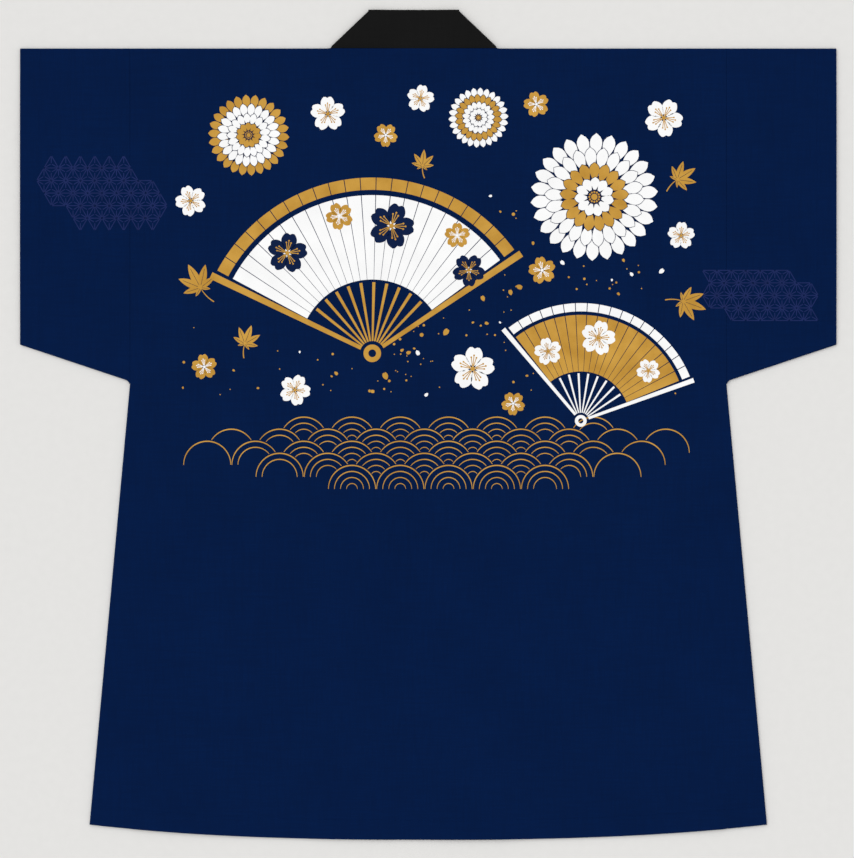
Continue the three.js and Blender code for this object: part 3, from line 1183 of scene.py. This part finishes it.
def black_stitch_runs():
    """One row beside the collar's seam: at the back neck, and under each front."""
    seam_y = SHOULDER_Y + SEAM_GAP / 2 + TOPSTITCH
    x = np.linspace(NECK_X - NECK_HALF + 4.0, NECK_X + NECK_HALF - 4.0, 60)
    runs = [raised(x, seam_y, neck_under(x) + BAND_FOLD - HIGH_STITCH)]
    for side in (-1, 1):
        sewn_x = band_edges(side)[1] - side * TOPSTITCH
        y = np.linspace(hem_level(sewn_x) + 2.0, SHOULDER_Y, 200)
        runs.append(raised(sewn_x, y, UNDER_STITCH))
    return runs


# -------------------- stage


def make_stage():
    """The ground, an even white sky and one wide soft lamp."""
    across = (-GROUND_REACH, GROUND_REACH, GROUND_REACH, -GROUND_REACH)
    corners = [(x, y, GROUND_Z) for x, y in zip(across, sorted(across))]
    floor = mesh_object("floor", corners, [(0, 1, 2, 3)], ground_material(), smooth_shaded=False)
    world = bpy.data.worlds.new("studio")
    world.use_nodes = True
    background = world.node_tree.nodes["Background"]
    background.inputs["Color"].default_value = (1.0, 1.0, 1.0, 1.0)
    background.inputs["Strength"].default_value = WORLD_STRENGTH
    bpy.context.scene.world = world
    bpy.context.scene.view_settings.view_transform = "Standard"
    lamp = bpy.data.lights.new("soft_key", "SUN")
    lamp.energy = KEY_ENERGY
    lamp.angle = math.radians(KEY_SPREAD)
    key = bpy.data.objects.new("soft_key", lamp)
    key.rotation_euler = (math.radians(KEY_TILT[0]), math.radians(KEY_TILT[1]), 0.0)
    bpy.context.scene.collection.objects.link(key)


def make_camera():
    """A camera straight above, far enough away to take in the framed length."""
    camera = bpy.data.cameras.new("camera")
    camera.lens = LENS
    camera.sensor_width = SENSOR
    away = SEEN_LENGTH * LENS / SENSOR
    made = bpy.data.objects.new("camera", camera)
    made.location = (VIEW_CENTRE[0] * MM, VIEW_CENTRE[1] * MM, (away + UPPER_TOP) * MM)
    bpy.context.scene.collection.objects.link(made)
    bpy.context.scene.camera = made


# -------------------- the scene


def ride_and_slot(piece):
    """Fixes a piece to the coat's one body."""
    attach(piece, "root")


def make_cloth_pieces():
    """Every cloth piece: the back, both fronts, both sleeves and the collar."""
    navy = woven("navy_cloth", NAVY, CLOTH_THREAD, 0.02)
    black = woven("black_collar", BLACK, COLLAR_THREAD, 0.01)
    back = make_back(navy)
    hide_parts("back")
    ride_and_slot(back)
    for side_name, side in (("left", -1), ("right", 1)):
        front = make_front(f"front_{side_name}_cloth", side, navy)
        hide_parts(f"front_{side_name}")
        ride_and_slot(front)
        seam_x = side * NECK_X + NECK_HALF
        hem, chest = HEM_HALF - seam_x, CHEST_HALF - seam_x
        area = (hem + chest) / 2 * (SHOULDER_Y - HEM_Y)
        sleeve = make_sleeve(f"sleeve_{side_name}_cloth", side, navy)
        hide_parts(f"sleeve_{side_name}")
        ride_and_slot(sleeve)
        length = SPAN_HALF - CHEST_HALF
        area = length * (ARMHOLE_DEPTH + CUFF_DEPTH)
    collar = make_collar(black)
    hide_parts("collar")
    ride_and_slot(collar)
    area = 2 * (CHEST_HALF * (SHOULDER_Y - ARMHOLE_FOOT_Y))
    area += (CHEST_HALF + HEM_HALF) * (ARMHOLE_FOOT_Y - HEM_Y)


def make_thread():
    """The stitches: they ride with the coat and stand for no CAD node."""
    # Each thread colour is its cloth's colour made lighter: a painted sheen on the thread, not a
    # different dye.
    navy_thread_painted_sheen = woven("navy_thread_painted_sheen", shaded(NAVY, 1.25), 0.25, 0.05)
    black_thread_painted_sheen = woven("black_thread_painted_sheen", shaded(BLACK, 1.2), 0.25, 0.05)
    ride_and_slot(stitches(navy_stitch_runs(), "hem_stitches", navy_thread_painted_sheen))
    ride_and_slot(stitches(black_stitch_runs(), "collar_stitches", black_thread_painted_sheen))


def make_inks():
    """The print, one piece for each ink."""
    inks = make_print(
        {
            "indigo": printed("indigo_ink", INDIGO, shaded(INDIGO, 0.8), 12.0),
            "white": printed("white_ink", WHITE, shaded(WHITE, 0.94), 30.0),
            "gold": printed("gold_ink", GOLD, DEEP_GOLD, 22.0),
            "navy": printed("navy_ink", NAVY, shaded(NAVY, 0.95), 60.0),
        }
    )
    for name, ink in inks.items():
        ride_and_slot(ink)


make_camera()
make_stage()
make_cloth_pieces()
make_thread()
make_inks()
